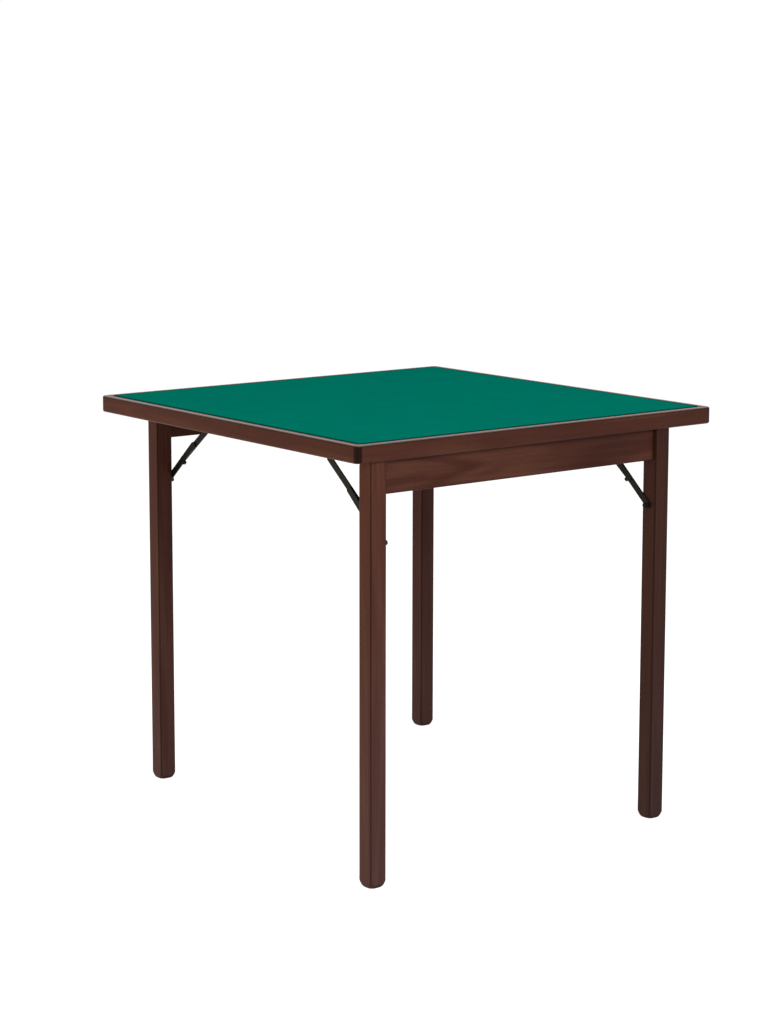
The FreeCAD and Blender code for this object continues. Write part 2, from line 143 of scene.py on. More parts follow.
def shaded(tree, colour, level):
    grey = addNode(tree, "ShaderNodeCombineColor", {0: level, 1: level, 2: level}).outputs[0]
    return mixColour(tree, 1.0, colour, grey, "MULTIPLY")


# The frequency is in cycles per metre along X, Y and Z
def noise(tree, place, frequency, detail=2.0, roughness=0.5, distortion=0.0, shift=(0, 0, 0)):
    where = addNode(tree, "ShaderNodeMapping", {"Vector": place, "Location": shift, "Scale": frequency})
    return addNode(tree, "ShaderNodeTexNoise",
                   {"Vector": where.outputs[0], "Scale": 1.0, "Detail": detail, "Roughness": roughness,
                    "Distortion": distortion}).outputs[0]


def bump(tree, height, strength, distance):
    inputs = {"Strength": strength, "Distance": distance, "Height": height}
    return addNode(tree, "ShaderNodeBump", inputs).outputs[0]


# The distance from the table's middle, along X or Y, whichever is more
def fromMiddle(tree, where):
    sides = separateSizes(tree, where)
    return larger(tree, sides[0], sides[1])


def startTree(owner):
    owner.use_nodes = True
    owner.node_tree.nodes.clear()
    return owner.node_tree


def newMaterial(name):
    material = bpy.data.materials.new(name)
    tree = startTree(material)
    shader = addNode(tree, "ShaderNodeBsdfPrincipled")
    addNode(tree, "ShaderNodeOutputMaterial", {"Surface": shader.outputs[0]})
    place = addNode(tree, "ShaderNodeTexCoord").outputs
    return material, tree, shader, place


def rgb(*values):
    return (*values, 1.0)


# Finishes: patterns are in cycles per metre, those of wood along and then across the grain

walnut = {
    "dark": rgb(0.034, 0.0096, 0.0062),
    "middle": rgb(0.064, 0.0212, 0.0138),
    "light": rgb(0.104, 0.0400, 0.0262),
    "figure": (1.05, 16.0),
    "ringLines": 33.0,
    "streaks": (5.0, 170.0),
    "clouds": (2.4, 9.0),
    "cloudShift": (3.1, 7.7, 1.3),
    "clouded": 0.50,
    "contrast": 0.32,
    "pores": (55.0, 1300.0),
    "poreLevels": (0.60, 0.72),
    "poreShade": 0.45,
    "levelFace": (0.2, 0.4),       # faces that look this far up or down have no upright arris
    "legArris": (0.92, 0.997),
    "arrisShade": (0.52, 0.38),    # upright arrises are darker, least near the floor
    # painted shade on the rim's rounded corners, darkest across their rounding
    "rimCorner": (0.985, 0.9999),
    "paintedCornerShade": 0.17,
    "lipHighlight": rgb(0.120, 0.086, 0.080),    # painted highlight: the lip's outer part is painted pale, standing in for the grazing reflection along it, and is made smoother
    "lipSlope": (0.3, 0.8),
    "lipBand": (6.0 * mm, 9.0 * mm),
    "lipStreak": 0.6,
    "lipInside": 0.12,
    "lipGloss": 0.42,
    "floorBounceTint": rgb(1.0, 1.36, 1.88),    # painted light: the legs turn greyer towards the floor, standing in for pale light thrown up from the floor
    "fadeHeight": 0.66,
    "paintedFootShade": 0.50,              # painted shade: the bottom of each foot is darkened, standing in for the shade under it
    "footShadeHeights": (1 * mm, 9 * mm),
    "roughness": (0.35, 0.46),
    "specular": 0.06,
    "streakRelief": 0.35,
    "bumpStrength": 0.35,
    "bumpDepth": 0.06 * mm,
}
legTones = {"front_left": 1.20, "front_right": 0.68, "rear_left": 1.10, "rear_right": 1.09}


def stretched(axis, along, across):
    return tuple(along if number == axis else across for number in range(3))


def walnutGrain(tree, where, axis, figured, streaked):
    look = walnut
    figure = noise(tree, where, stretched(axis, *look["figure"]), detail=3.0, distortion=0.8)
    rings = mapRange(tree, calc(tree, "SINE", times(tree, figure, look["ringLines"])), -1.0, 1.0)
    streaks = noise(tree, where, stretched(axis, *look["streaks"]), detail=4.0, roughness=0.6)
    clouds = noise(tree, where, stretched(axis, *look["clouds"]), distortion=0.3, shift=look["cloudShift"])
    pores = noise(tree, where, stretched(axis, *look["pores"]), detail=1.0)
    poreMask = mapRange(tree, pores, *look["poreLevels"])
    depth = 0.0
    for pattern, strength in ((rings, figured), (streaks, streaked), (clouds, look["clouded"])):
        depth = plus(tree, depth, times(tree, minus(tree, pattern, 0.5), strength))
    share = mapRange(tree, depth, -look["contrast"], look["contrast"])
    ramp = addNode(tree, "ShaderNodeValToRGB", {"Fac": share})
    ramp.color_ramp.elements[0].color = look["dark"]
    ramp.color_ramp.elements[1].color = look["light"]
    ramp.color_ramp.elements.new(0.5).color = look["middle"]
    colour = mixColour(tree, times(tree, poreMask, look["poreShade"]), ramp.outputs[0], look["dark"])
    return colour, streaks, poreMask


# An upright arris is where the normal turns from one side to the next
def arrisLevel(tree, normal, height, onLeg):
    look = walnut
    parts = separateSizes(tree, normal)
    square = larger(tree, larger(tree, parts[0], parts[1]), mapRange(tree, parts[2], *look["levelFace"]))
    if not onLeg:
        # the rim's rounded corners get painted shade
        return smoothRange(tree, square, *look["rimCorner"], look["paintedCornerShade"], 1.0)
    deepest = mapRange(tree, height, 0.0, look["fadeHeight"], *look["arrisShade"])
    level = smoothRange(tree, square, *look["legArris"], deepest, 1.0)
    # painted shade darkens the bottom of each foot
    return times(tree, level, smoothRange(tree, height, *look["footShadeHeights"], look["paintedFootShade"], 1.0))


# The share of the rim's up-facing lip that gets a painted highlight and a smoother finish
def lipHighlightShare(tree, normal, where, streaks):
    look = walnut
    upwards = smoothRange(tree, separate(tree, normal)[2], *look["lipSlope"])
    paler = times(tree, upwards, mapRange(tree, streaks, *usualNoise, look["lipStreak"], 1.0))
    inset = minus(tree, cadBox[1].x, fromMiddle(tree, where))
    return times(tree, paler, smoothRange(tree, inset, *look["lipBand"], 1.0, look["lipInside"]))


def makeWalnut(name, axis, tone, figured, streaked=0.36, paintedLip=False, onLeg=False):
    look = walnut
    material, tree, shader, place = newMaterial(name)
    where = place["Object"]
    normal = place["Normal"]
    height = separate(tree, where)[2]
    colour, streaks, poreMask = walnutGrain(tree, where, axis, figured, streaked)
    colour = shaded(tree, colour, times(tree, arrisLevel(tree, normal, height, onLeg), tone))
    gloss = mapRange(tree, streaks, *usualNoise, *look["roughness"])
    if paintedLip:
        # painted highlight along the lip's outer part, which is also made glossier
        paler = lipHighlightShare(tree, normal, where, streaks)
        colour = mixColour(tree, paler, colour, look["lipHighlight"])
        gloss = times(tree, gloss, mapRange(tree, paler, 0.0, 1.0, 1.0, look["lipGloss"]))
    # painted light: the legs grey towards the floor, standing in for light from the pale floor
    if onLeg:
        share = mapRange(tree, height, 0.0, look["fadeHeight"], 1.0, 0.0)
        greyed = mixColour(tree, 1.0, colour, look["floorBounceTint"], "MULTIPLY")
        colour = mixColour(tree, share, colour, greyed)
    relief = minus(tree, times(tree, streaks, look["streakRelief"]), poreMask)
    fill(tree, shader, {
        "Base Color": colour, "Roughness": gloss, "Specular IOR Level": look["specular"],
        "Normal": bump(tree, relief, look["bumpStrength"], look["bumpDepth"])})
    return material


baize = {
    "colour": rgb(0.0002, 0.165, 0.120),
    "deep": rgb(0.0001, 0.132, 0.096),
    "nap": 2600.0,
    "napShare": 0.5,
    "fibres": (1900.0, 320.0, 900.0),
    "fibreShift": (5.0, 2.0, 0.0),
    "fibreShare": 0.3,
    "clouds": 14.0,
    "cloudShare": 0.25,
    "patternLevels": (0.38, 0.66),
    "grooveShade": 0.14,         # painted shade: the cloth is darkened along the lip, standing in for the shadow in the groove there
    "grooveBand": (9.0 * mm, 2.25 * mm),
    "sheen": 0.03,
    "sheenRoughness": 0.6,
    "sheenTint": rgb(0.0, 0.7, 0.5),
    "bumpStrength": 0.5,
    "bumpDepth": 0.12 * mm,
}


def makeBaize():
    look = baize
    material, tree, shader, place = newMaterial("baizeWool")
    where = place["Object"]
    nap = noise(tree, where, (look["nap"],) * 3, detail=3.0, roughness=0.65)
    fibres = noise(tree, where, look["fibres"], roughness=0.6, distortion=1.2, shift=look["fibreShift"])
    clouds = noise(tree, where, (look["clouds"],) * 3, detail=3.0, roughness=0.55)
    share = plus(tree, times(tree, nap, look["napShare"]), times(tree, fibres, look["fibreShare"]))
    share = plus(tree, share, times(tree, clouds, look["cloudShare"]))
    share = mapRange(tree, share, *look["patternLevels"])
    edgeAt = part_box("baize")[1].x
    grooveReach = [edgeAt - inset for inset in look["grooveBand"]]
    # painted shade on the cloth where it meets the lip
    level = smoothRange(tree, fromMiddle(tree, where), *grooveReach, 1.0, look["grooveShade"])
    fill(tree, shader, {
        "Base Color": shaded(tree, mixColour(tree, share, look["deep"], look["colour"]), level),
        "Roughness": 1.0, "Specular IOR Level": 0.0,
        "Sheen Weight": look["sheen"], "Sheen Roughness": look["sheenRoughness"],
        "Sheen Tint": look["sheenTint"],
        "Normal": bump(tree, plus(tree, nap, fibres), look["bumpStrength"], look["bumpDepth"])})
    return material


steel = {
    "colour": rgb(0.0065, 0.0058, 0.0046),
    "paler": rgb(0.024, 0.021, 0.017),
    "dullness": 90.0,
    "scratches": (700.0, 60.0, 60.0),
    "scratchLevels": (0.62, 0.74),
    "scratchShare": 0.5,
    "roughness": (0.34, 0.52),
    "specular": 0.10,
    "bumpStrength": 0.25,
    "bumpDepth": 0.05 * mm,
}


def makeBlackSteel():
    look = steel
    material, tree, shader, place = newMaterial("blackSteel")
    where = place["Object"]
    dull = noise(tree, where, (look["dullness"],) * 3, detail=4.0, roughness=0.6)
    scratches = noise(tree, where, look["scratches"], detail=3.0, roughness=0.6, distortion=0.5)
    paler = mapRange(tree, scratches, *look["scratchLevels"], 0.0, look["scratchShare"])
    fill(tree, shader, {
        "Base Color": mixColour(tree, paler, look["colour"], look["paler"]),
        "Roughness": mapRange(tree, dull, *usualNoise, *look["roughness"]),
        "Specular IOR Level": look["specular"],
        "Normal": bump(tree, dull, look["bumpStrength"], look["bumpDepth"])})
    return material


zinc = {
    "dark": rgb(0.42, 0.41, 0.39),
    "bright": rgb(0.66, 0.65, 0.62),
    "spangle": 420.0,
    "roughness": (0.28, 0.48),
}


def makeZinc():
    material, tree, shader, place = newMaterial("zincSteel")
    spangle = noise(tree, place["Object"], (zinc["spangle"],) * 3, detail=3.0, roughness=0.6)
    fill(tree, shader, {
        "Base Color": mixColour(tree, spangle, zinc["dark"], zinc["bright"]),
        "Roughness": mapRange(tree, spangle, *usualNoise, *zinc["roughness"]),
        "Metallic": 1.0})
    return material


veneer = {
    "dark": rgb(0.36, 0.225, 0.120),
    "light": rgb(0.56, 0.40, 0.245),
    "figure": (1.2, 9.0),
    "ringLines": 44.0,
    "ringShare": 0.4,
    "streaks": (8.0, 260.0),
    "streakShare": 0.8,
    "roughness": 0.72,
    "bumpStrength": 0.3,
    "bumpDepth": 0.08 * mm,
}


def makePlywood():
    look = veneer
    material, tree, shader, place = newMaterial("plywoodVeneer")
    where = place["Object"]
    figure = noise(tree, where, stretched(0, *look["figure"]), detail=4.0, roughness=0.55, distortion=1.0)
    rings = calc(tree, "SINE", times(tree, figure, look["ringLines"]))
    streaks = noise(tree, where, stretched(0, *look["streaks"]), detail=3.0, roughness=0.6)
    share = plus(tree, mapRange(tree, rings, -1.0, 1.0, 0.0, look["ringShare"]),
                 times(tree, streaks, look["streakShare"]))
    fill(tree, shader, {
        "Base Color": mixColour(tree, share, look["dark"], look["light"]),
        "Roughness": look["roughness"],
        "Normal": bump(tree, streaks, look["bumpStrength"], look["bumpDepth"])})
    return material


rimWalnut = {letter: makeWalnut("rimWalnut" + letter, axis, tone=1.04, figured=0.14, paintedLip=True)
             for axis, letter in enumerate("XY")}
apronWalnut = makeWalnut("apronWalnut", 0, tone=1.06, figured=0.26)
legWalnut = {leg: makeWalnut("legWalnut_" + leg, 2, legTones[leg], figured=0.12, streaked=0.22, onLeg=True)
             for leg in legNames}
blackSteel = makeBlackSteel()
zincSteel = makeZinc()
plywood = makePlywood()
baizeWool = makeBaize()


def dress(name, material):
    mesh = nodes[name].data
    if not mesh.materials:
        mesh.materials.append(material)
    for number in range(len(mesh.materials)):
        mesh.materials[number] = material


for end, letter in (("front", "X"), ("rear", "X"), ("left", "Y"), ("right", "Y")):
    dress("rim_" + end, rimWalnut[letter])
for end in ("front", "rear"):
    dress("apron_" + end, apronWalnut)
for leg in legNames:
    for part in ("stay_bracket_", "lower_link_", "upper_link_"):
        dress(part + leg, blackSteel)
dress("playing_board", plywood)
dress("hinge_pins", zincSteel)
print("Finishes on the frame's pieces")


# What the modifiers make of a piece becomes its own plain mesh
def keepShape(piece):
    graph = bpy.context.evaluated_depsgraph_get()
    kept = bpy.data.meshes.new_from_object(piece.evaluated_get(graph), depsgraph=graph)
    piece.modifiers.clear()
    piece.data = kept
    kept.name = piece.name


# Legs: the frame's post with a block round its foot, trimmed by a stack of rounded squares

footRound = {
    "inset": 3.8 * mm,         # how far the foot draws in
    "height": 12.0 * mm,
    "cornerRadius": 10.0 * mm,
    "arris": 2.4 * mm,
    "blockArris": 3.1 * mm,
    "blockHeight": 15.0 * mm,
    "slack": 0.04 * mm,
    "steps": 12,
    "pastFoot": 0.5 * mm,      # how far the stack runs beyond the leg's two ends
    "pastTop": 5.0 * mm,
    "weld": 0.001 * mm,
    "crease": math.radians(38),
}


# A level is (height, half width, corner radius)
def stackSquares(centre, levels, perCorner=9):
    points = []
    faces = []
    for height, half, radius in levels:
        for quarter in range(4):
            corner = math.pi / 2 * quarter + math.pi / 4
            reach = (half - radius) * math.sqrt(2)
            for step in range(perCorner):
                angle = math.pi / 2 * (quarter + step / (perCorner - 1))
                points.append((centre.x + reach * math.cos(corner) + radius * math.cos(angle),
                               centre.y + reach * math.sin(corner) + radius * math.sin(angle), height))
    count = 4 * perCorner
    for level in range(len(levels) - 1):
        for number in range(count):
            after = (number + 1) % count
            faces.append((level * count + number, level * count + after,
                          (level + 1) * count + after, (level + 1) * count + number))
    faces.append(tuple(reversed(range(count))))
    faces.append(tuple(range((len(levels) - 1) * count, len(levels) * count)))
    mesh = bpy.data.meshes.new("stack")
    mesh.from_pydata(points, [], faces)
    return mesh


def footShapes(leg):
    look = footRound
    low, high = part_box("leg_" + leg)
    centre = (low + high) / 2
    half = (high.x - low.x) / 2
    inner = half - look["slack"] / 2
    block = stackSquares(centre, [(height, inner, look["blockArris"]) for height in (0, look["blockHeight"])])
    half += look["slack"]
    levels = [(-look["pastFoot"], half - look["inset"], look["cornerRadius"])]
    for step in range(look["steps"] + 1):
        angle = math.pi / 2 * step / look["steps"]
        rise = 1 - math.cos(angle)
        levels.append((look["height"] * rise, half - look["inset"] * (1 - math.sin(angle)),
                       look["arris"] + (look["cornerRadius"] - look["arris"]) * (1 - rise)))
    levels.append((high.z + look["pastTop"], half, look["arris"]))
    return block, stackSquares(centre, levels)


def roundLeg(leg):
    name = "legPost_" + leg
    mesh = nodes["leg_" + leg].data.copy()
    welded = bmesh.new()
    welded.from_mesh(mesh)
    bmesh.ops.remove_doubles(welded, verts=welded.verts, dist=footRound["weld"])
    welded.to_mesh(mesh)
    welded.free()
    mesh.materials.clear()
    mesh.materials.append(legWalnut[leg])
    piece = bpy.data.objects.new(name, mesh)
    scene.collection.objects.link(piece)
    tools = []
    for operation, shape in zip(("UNION", "INTERSECT"), footShapes(leg)):
        tool = bpy.data.objects.new("tool", shape)
        scene.collection.objects.link(tool)
        step = piece.modifiers.new("step", "BOOLEAN")
        step.operation = operation
        step.solver = "EXACT"
        step.object = tool
        tools.append(tool)
    keepShape(piece)
    for tool in tools:
        bpy.data.objects.remove(tool)
    piece.data.shade_smooth()
    piece.data.set_sharp_from_angle(angle=footRound["crease"])
    even = piece.modifiers.new("even", "WEIGHTED_NORMAL")
    even.keep_sharp = True
    even.weight = 100
    keepShape(piece)
    print(name, len(piece.data.polygons), "faces")
    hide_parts("leg_" + leg)
    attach(piece, "leg_" + leg)


for leg in legNames:
    roundLeg(leg)
print("Feet rounded")


# Geometry Nodes helpers

def newTree(name, sizes):
    tree = bpy.data.node_groups.new(name, "GeometryNodeTree")
    tree.interface.new_socket("Geometry", in_out="INPUT", socket_type="NodeSocketGeometry")
    for label, (kind, value) in sizes.items():
        socket = tree.interface.new_socket(label, in_out="INPUT", socket_type=kind)
        if value is not None:
            socket.default_value = value
    tree.interface.new_socket("Geometry", in_out="OUTPUT", socket_type="NodeSocketGeometry")
    return tree, addNode(tree, "NodeGroupInput").outputs


def joined(tree, *shapes):
    node = addNode(tree, "GeometryNodeJoinGeometry")
    for shape in shapes:
        tree.links.new(shape, node.inputs[0])
    return node.outputs[0]


def moved(tree, shape, offset):
    return addNode(tree, "GeometryNodeTransform", {"Geometry": shape, "Translation": offset}).outputs[0]


def displaced(tree, shape, **inputs):
    return addNode(tree, "GeometryNodeSetPosition", {"Geometry": shape, **inputs}).outputs[0]


# Ends a tree: real geometry, smooth but for its sharp edges, in the given finish
def endTree(tree, geometry, material, sharpAngle):
    sharp = calc(tree, "GREATER_THAN", addNode(tree, "GeometryNodeInputMeshEdgeAngle").outputs[0], sharpAngle)
    real = addNode(tree, "GeometryNodeRealizeInstances", {0: geometry}).outputs[0]
    smooth = addNode(tree, "GeometryNodeSetShadeSmooth", {0: real}, domain="FACE").outputs[0]
    creases = {0: smooth, 1: sharp, 2: False}
    creased = addNode(tree, "GeometryNodeSetShadeSmooth", creases, domain="EDGE").outputs[0]
    painted = addNode(tree, "GeometryNodeSetMaterial", {"Geometry": creased, "Material": material}).outputs[0]
    addNode(tree, "NodeGroupOutput", {0: painted})


# Runs a tree on a mesh and keeps the result
def grow(name, mesh, tree, values):
    piece = bpy.data.objects.new(name, mesh)
    scene.collection.objects.link(piece)
    modifier = piece.modifiers.new(name, "NODES")
    modifier.node_group = tree
    for item in tree.interface.items_tree:
        if item.item_type == "SOCKET" and item.in_out == "INPUT" and item.name in values:
            modifier[item.identifier] = values[item.name]
    keepShape(piece)
    return piece


# Baize: one sheet over the board, its corners rounded with the rim's lip

cloth = {
    "cell": 12 * mm,
    "cornerCells": 6,
    "cornerRadius": 11.2 * mm,
    "ripple": 0.06 * mm,       # how far the wool lifts and dips over the board
    "waves": 22.0,
    "weld": 0.01 * mm,
    "crease": math.radians(40),
}


def makeClothTree():
    tree, sizes = newTree("stretchedCloth", {
        "Side": ("NodeSocketFloat", 0.77),
        "Corner Radius": ("NodeSocketFloat", 0.0112),
        "Thickness": ("NodeSocketFloat", 0.001),
        "Cells": ("NodeSocketInt", 64),
        "Corner Cells": ("NodeSocketInt", 6),
        "Ripple": ("NodeSocketFloat", 0.0),
        "Waves": ("NodeSocketFloat", 22.0),
        "Material": ("NodeSocketMaterial", None)})
    points = plus(tree, sizes["Cells"], 1.0)
    grid = addNode(tree, "GeometryNodeMeshGrid", {
        "Size X": sizes["Side"], "Size Y": sizes["Side"], "Vertices X": points, "Vertices Y": points})
    sides = separate(tree, addNode(tree, "GeometryNodeInputPosition").outputs[0])[:2]
    half = times(tree, sizes["Side"], 0.5)
    flat = minus(tree, half, sizes["Corner Radius"])
    # the outermost cells are narrow, so that the corners come out round
    outerShare = over(tree, times(tree, sizes["Corner Cells"], 2.0), sizes["Cells"])
    innerShare = minus(tree, 1.0, outerShare)
    spread = []
    for side in sides:
        reach = over(tree, calc(tree, "ABSOLUTE", side), half)
        inner = times(tree, over(tree, reach, innerShare), flat)
        beyond = over(tree, minus(tree, reach, innerShare), outerShare)
        outer = plus(tree, flat, times(tree, sizes["Corner Radius"], beyond))
        spread.append(times(tree, calc(tree, "MINIMUM", inner, outer), calc(tree, "SIGN", side)))
    spaced = displaced(tree, grid.outputs["Mesh"], Position=combine(tree, *spread))
    # a corner's square patch, drawn in to a quarter of a disc
    patch = [larger(tree, minus(tree, calc(tree, "ABSOLUTE", side), flat), 0.0) for side in sides]
    squares = plus(tree, times(tree, patch[0], patch[0]), times(tree, patch[1], patch[1]))
    length = larger(tree, calc(tree, "SQRT", squares), 1e-9)
    excess = minus(tree, over(tree, larger(tree, *patch), length), 1.0)
    moves = [times(tree, times(tree, reach, excess), calc(tree, "SIGN", side))
             for reach, side in zip(patch, sides)]
    drawn = displaced(tree, spaced, Offset=combine(tree, *moves))
    raised = addNode(tree, "GeometryNodeExtrudeMesh", {
        "Mesh": drawn, "Offset": combine(tree, z=sizes["Thickness"]), "Individual": False}, mode="FACES")
    # the top face ripples a little, and only ever down into its thickness
    wave = addNode(tree, "ShaderNodeTexNoise", {"Scale": sizes["Waves"], "Detail": 2.0}).outputs[0]
    lift = combine(tree, z=times(tree, minus(tree, wave, 1.0), sizes["Ripple"]))
    rippled = displaced(tree, raised.outputs["Mesh"], Selection=raised.outputs["Top"], Offset=lift)
    under = addNode(tree, "GeometryNodeFlipFaces", {0: drawn}).outputs[0]
    closed = addNode(tree, "GeometryNodeMergeByDistance", {
        "Geometry": joined(tree, rippled, under), "Distance": cloth["weld"]})
    endTree(tree, closed.outputs[0], sizes["Material"], cloth["crease"])
    return tree


def makeCloth():
    low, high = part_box("baize")
    side = high.x - low.x
    piece = grow("baizeCloth", bpy.data.meshes.new("baizeCloth"), makeClothTree(), {
        "Side": side, "Corner Radius": cloth["cornerRadius"], "Thickness": high.z - low.z,
        "Cells": round(side / cloth["cell"]), "Corner Cells": cloth["cornerCells"],
        "Ripple": cloth["ripple"], "Waves": cloth["waves"], "Material": baizeWool})
    piece.data.transform(Matrix.Translation(Vector(((low.x + high.x) / 2, (low.y + high.y) / 2, low.z))))
    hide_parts("baize")
    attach(piece, "top")


makeCloth()
print("Baize laid on the board")


# Screws and rivets: a domed head, slotted or plain, on a shank, at each seat

fastener = {
    "headSides": 32,
    "headRings": 6,
    "shankSides": 24,
    "slotReach": 2.5,          # how far the slot's cutter runs, in head radii
    "crease": math.radians(35),
    "slotTurn": math.radians(50),    # each screw stops at its own angle
}


def fastenerHead(tree, sizes):
    disc = addNode(tree, "GeometryNodeMeshCylinder", {
        "Vertices": fastener["headSides"], "Side Segments": 1, "Fill Segments": fastener["headRings"],
        "Radius": sizes["Head Radius"], "Depth": sizes["Head Height"]})
    parts = separate(tree, addNode(tree, "GeometryNodeInputPosition").outputs[0])
    across = plus(tree, times(tree, parts[0], parts[0]), times(tree, parts[1], parts[1]))
    share = over(tree, across, times(tree, sizes["Head Radius"], sizes["Head Radius"]))
    fall = times(tree, share, minus(tree, sizes["Rim Height"], sizes["Head Height"]))
    domed = displaced(tree, disc.outputs["Mesh"], Selection=calc(tree, "GREATER_THAN", parts[2], 0.0),
                      Offset=combine(tree, z=fall))
    seated = moved(tree, domed, combine(tree, z=times(tree, sizes["Head Height"], 0.5)))
    slotSize = combine(tree, times(tree, sizes["Head Radius"], fastener["slotReach"]), sizes["Slot Width"],
                       times(tree, sizes["Slot Depth"], 2.0))
    bar = addNode(tree, "GeometryNodeMeshCube", {"Size": slotSize}).outputs[0]
    cut = addNode(tree, "GeometryNodeMeshBoolean", {0: seated}, operation="DIFFERENCE")
    tree.links.new(moved(tree, bar, combine(tree, z=sizes["Head Height"])), cut.inputs[1])
    choices = {"Switch": sizes["Slotted"], "False": seated, "True": cut.outputs[0]}
    return addNode(tree, "GeometryNodeSwitch", choices, input_type="GEOMETRY").outputs[0]


# The head's axis lies along the seat's "facing", and its slot is turned by the seat's "turn"
def fastenerTurn(tree):
    facing = addNode(tree, "GeometryNodeInputNamedAttribute", {"Name": "facing"}, data_type="FLOAT_VECTOR")
    turn = addNode(tree, "GeometryNodeInputNamedAttribute", {"Name": "turn"}, data_type="FLOAT")
    aimed = addNode(tree, "FunctionNodeAlignRotationToVector", {"Vector": facing.outputs[0]}, axis="Z")
    spin = addNode(tree, "FunctionNodeAxisAngleToRotation", {"Axis": (0, 0, 1), "Angle": turn.outputs[0]})
    return addNode(tree, "FunctionNodeRotateRotation", {0: aimed.outputs[0], 1: spin.outputs[0]},
                   rotation_space="LOCAL").outputs[0]


def makeFastenerTree():
    tree, sizes = newTree("domedFasteners", {
        "Head Radius": ("NodeSocketFloat", 0.0045),
        "Head Height": ("NodeSocketFloat", 0.0016),
        "Rim Height": ("NodeSocketFloat", 0.0004),
        "Shank Radius": ("NodeSocketFloat", 0.0025),
        "Shank Length": ("NodeSocketFloat", 0.004),
        "Slotted": ("NodeSocketBool", False),
        "Slot Width": ("NodeSocketFloat", 0.001),
        "Slot Depth": ("NodeSocketFloat", 0.0008),
        "Material": ("NodeSocketMaterial", None)})
    rod = addNode(tree, "GeometryNodeMeshCylinder", {
        "Vertices": fastener["shankSides"], "Radius": sizes["Shank Radius"],
        "Depth": sizes["Shank Length"]}).outputs["Mesh"]
    shank = moved(tree, rod, combine(tree, z=times(tree, sizes["Shank Length"], -0.5)))
    placed = addNode(tree, "GeometryNodeInstanceOnPoints", {
        "Points": sizes["Geometry"], "Instance": joined(tree, fastenerHead(tree, sizes), shank),
        "Rotation": fastenerTurn(tree)}).outputs[0]
    endTree(tree, placed, sizes["Material"], fastener["crease"])
    return tree


fastenerTree = makeFastenerTree()


# Seats are (point, direction the head faces) pairs
def fasten(name, seats, body, material, sizes, replaced=()):
    mesh = bpy.data.meshes.new(name)
    mesh.from_pydata([tuple(point) for point, _ in seats], [], [])
    mesh.attributes.new("facing", "FLOAT_VECTOR", "POINT")
    mesh.attributes.new("turn", "FLOAT", "POINT")
    for number, (_, way) in enumerate(seats):
        mesh.attributes["facing"].data[number].vector = way
        mesh.attributes["turn"].data[number].value = fastener["slotTurn"] * (number + 1)
    piece = grow(name, mesh, fastenerTree, {**sizes, "Material": material})
    if replaced:
        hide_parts(*replaced)
    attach(piece, body)


pivotScrew = {"Head Radius": 4.3 * mm, "Head Height": 9.6 * mm, "Rim Height": 8.3 * mm,
              "Shank Radius": 2.5 * mm, "Slotted": True, "Slot Width": 1.1 * mm, "Slot Depth": 1.2 * mm}
rivet = {"Head Radius": 4.5 * mm, "Head Height": 1.6 * mm, "Rim Height": 0.4 * mm, "Shank Radius": 2.5 * mm}
plateScrew = {"Head Radius": 3.4 * mm, "Head Height": 1.8 * mm, "Rim Height": 0.5 * mm,
              "Shank Radius": 1.8 * mm, "Shank Length": 1.0 * mm,
              "Slotted": True, "Slot Width": 0.8 * mm, "Slot Depth": 0.8 * mm}
bracket = {"thickness": 2.5 * mm, "endRadius": 7.0 * mm, "screwAcross": 11.0 * mm, "screwPitch": 13.0 * mm}

# The pivot screws in the legs and the knees' rivets stand for the frame's plain ones
stations = (
    {"name": "pivotScrew_", "plain": "stay_screw_", "plainHead": 2.4 * mm,
     "pivot": "lower_stay_turn_", "body": "leg_", "sizes": pivotScrew},
    {"name": "kneeRivet_", "plain": "knee_rivet_", "plainHead": 1.6 * mm,
     "pivot": "knee_turn_", "body": "lower_stay_", "sizes": rivet},
)


# Which way along X a stay lies from its leg's screw
def staySide(leg):
    legLow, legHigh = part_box("leg_" + leg)
    plateLow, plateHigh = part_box("stay_bracket_" + leg)
    return 1 if plateLow.x + plateHigh.x > legLow.x + legHigh.x else -1


def nearSide(name, inwards):
    low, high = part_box(name)
    return low.x if inwards > 0 else high.x


def farSide(name, inwards):
    return nearSide(name, -inwards)


screwSeats = []
rivetSeats = []
for leg in legNames:
    inwards = staySide(leg)
    way = Vector((inwards, 0, 0))
    for station in stations:
        plain = station["plain"] + leg
        seat = pivots[station["pivot"] + leg].copy()
        seat.x = farSide(plain, inwards) - station["plainHead"] * inwards
        shank = abs(seat.x - nearSide(plain, inwards))
        fasten(station["name"] + leg, [(seat, way)], station["body"] + leg, blackSteel,
               {**station["sizes"], "Shank Length": shank}, [plain])
    plateLow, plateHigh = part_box("stay_bracket_" + leg)
    face = nearSide("stay_bracket_" + leg, inwards)
    middle = (plateLow.y + plateHigh.y) / 2
    rivetAt = Vector((face + bracket["thickness"] * inwards, middle, plateLow.z + bracket["endRadius"]))
    rivetSeats.append((rivetAt, way))
    for side in (-0.5, 0.5):
        screwAt = Vector((face + bracket["screwAcross"] * inwards, middle + bracket["screwPitch"] * side,
                          plateHigh.z - bracket["thickness"]))
        screwSeats.append((screwAt, Vector((0, 0, -1))))

fasten("bracketRivets", rivetSeats, "top", blackSteel, {**rivet, "Shank Length": 1.0 * mm})
fasten("bracketScrews", screwSeats, "top", zincSteel, plateScrew)
print("Screws and rivets set")


# Floor, backdrop and light

stageLook = {"floorSize": 40.0, "floorColour": rgb(0.66, 0.66, 0.66), "floorGlow": 0.80, "worldLevel": 0.30}


# One for the rays that show the backdrop, nought for those that light the table
def shownRays(tree):
    rays = addNode(tree, "ShaderNodeLightPath").outputs
    mirrored = larger(tree, rays["Is Glossy Ray"], rays["Is Transmission Ray"])
    return larger(tree, rays["Is Camera Ray"], mirrored)


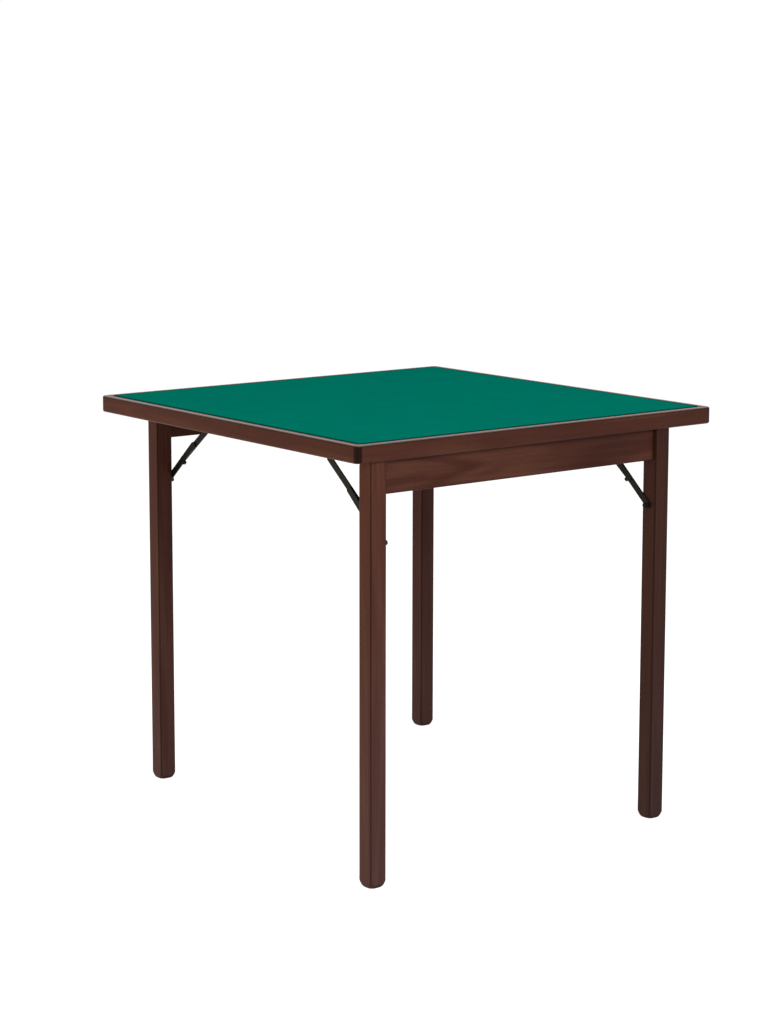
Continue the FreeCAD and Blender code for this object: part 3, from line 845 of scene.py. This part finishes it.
def makeFloor():
    material = bpy.data.materials.new("paleFloor")
    tree = startTree(material)
    matt = addNode(tree, "ShaderNodeBsdfDiffuse", {"Color": stageLook["floorColour"]})
    strength = times(tree, shownRays(tree), stageLook["floorGlow"])
    glow = addNode(tree, "ShaderNodeEmission", {"Strength": strength})
    both = addNode(tree, "ShaderNodeAddShader", {0: matt.outputs[0], 1: glow.outputs[0]})
    addNode(tree, "ShaderNodeOutputMaterial", {"Surface": both.outputs[0]})
    half = stageLook["floorSize"] / 2
    corners = [(-half, -half, 0), (half, -half, 0), (half, half, 0), (-half, half, 0)]
    mesh = bpy.data.meshes.new("floor")
    mesh.from_pydata(corners, [], [(0, 1, 2, 3)])
    mesh.materials.append(material)
    floor = bpy.data.objects.new("floor", mesh)
    scene.collection.objects.link(floor)


def makeWorld():
    world = bpy.data.worlds.new("studio")
    scene.world = world
    tree = startTree(world)
    level = mapRange(tree, shownRays(tree), 0.0, 1.0, stageLook["worldLevel"], 1.0)
    back = addNode(tree, "ShaderNodeBackground", {"Color": rgb(1, 1, 1), "Strength": level})
    addNode(tree, "ShaderNodeOutputWorld", {"Surface": back.outputs[0]})


lamps = {
    "overhead": {"place": (0.0, -0.2, 3.2), "size": (2.2, 2.2), "power": 39.0, "colour": (1.0, 1.0, 1.0)},
    "front": {"place": (-0.8, -4.0, 2.4), "size": (2.6, 1.2), "power": 104.0, "colour": (1.0, 0.97, 0.93)},
    "left": {"place": (-3.6, 0.5, 1.0), "size": (2.0, 1.4), "power": 51.0, "colour": (1.0, 0.62, 0.18)},
}


def makeLamps(target):
    for name, values in lamps.items():
        lamp = bpy.data.lights.new(name, "AREA")
        lamp.shape = "RECTANGLE"
        lamp.size, lamp.size_y = values["size"]
        lamp.energy = values["power"]
        lamp.color = values["colour"]
        holder = bpy.data.objects.new(name, lamp)
        scene.collection.objects.link(holder)
        holder.location = values["place"]
        holder.rotation_euler = (target - holder.location).to_track_quat("-Z", "Y").to_euler()


makeFloor()
makeWorld()
makeLamps((cadBox[0] + cadBox[1]) / 2)

camera = {
    "place": (-2.65352, -3.41493, 1.31748),
    "yaw": 52.5796,            # degrees from +X
    "pitch": -8.3139,
    "roll": 0.0724,
    "lens": 111.464,
    "sensor": 36.0,
    "drop": -0.1,              # the view's middle sits below the lens axis
    "reach": 100.0,
}


def makeCamera():
    yaw = math.radians(camera["yaw"])
    pitch = math.radians(camera["pitch"])
    ahead = Vector((math.cos(yaw) * math.cos(pitch), math.sin(yaw) * math.cos(pitch), math.sin(pitch)))
    right = ahead.cross(Vector((0, 0, 1))).normalized()
    up = right.cross(ahead)
    turn = Matrix((right, up, -ahead)).transposed() @ Matrix.Rotation(math.radians(camera["roll"]), 3, "Z")
    data = bpy.data.cameras.new("view")
    data.sensor_fit = "HORIZONTAL"
    data.sensor_width = camera["sensor"]
    data.lens = camera["lens"]
    data.shift_y = camera["drop"]
    data.clip_end = camera["reach"]
    holder = bpy.data.objects.new("view", data)
    scene.collection.objects.link(holder)
    holder.matrix_world = Matrix.Translation(Vector(camera["place"])) @ turn.to_4x4()
    scene.camera = holder


makeCamera()
print("Floor, lights and camera ready")
